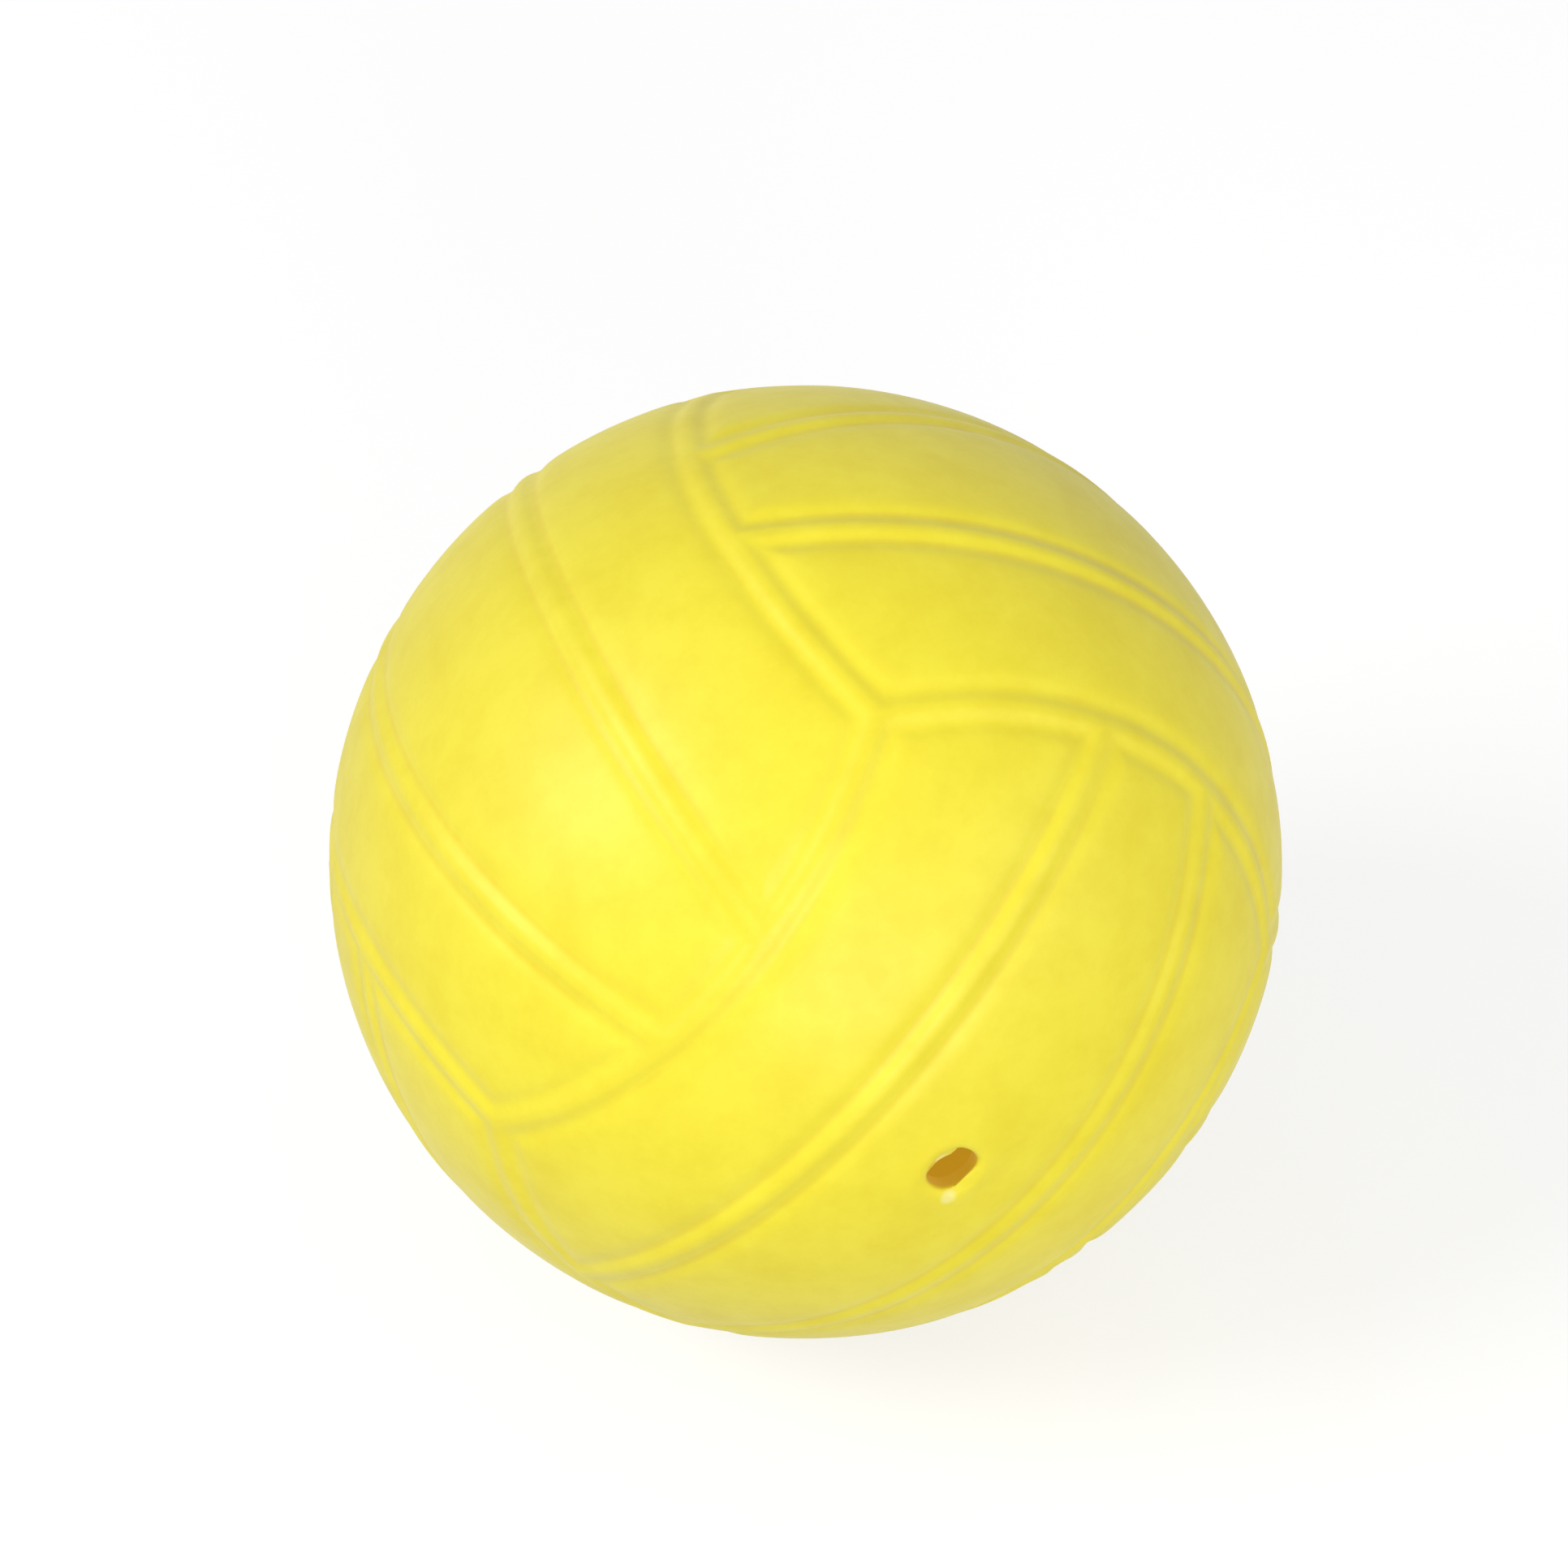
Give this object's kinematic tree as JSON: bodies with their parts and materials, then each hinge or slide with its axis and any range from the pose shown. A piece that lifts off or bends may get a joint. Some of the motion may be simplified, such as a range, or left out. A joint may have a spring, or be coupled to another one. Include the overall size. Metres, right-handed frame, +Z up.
{
  "type": "soft play ball",
  "caption": "Hollow soft rubber play ball with the relief of a volleyball, raised ribs along every seam and an open round air vent.",
  "frame": {"origin": "centre of the ball", "axes": "-Y out through the air vent, +Z up; about the vent's axis, the panel pattern stands at 45 degrees to X and Z"},
  "size_m": [0.1, 0.0998, 0.1],
  "materials": {
    "soft_rubber": "satin",
    "rubber_cement": "satin"
  },
  "bodies": {
    "root": {"front_half_shell": "soft_rubber", "back_half_shell": "soft_rubber", "cement_ring": "rubber_cement"}
  },
  "joints": []
}
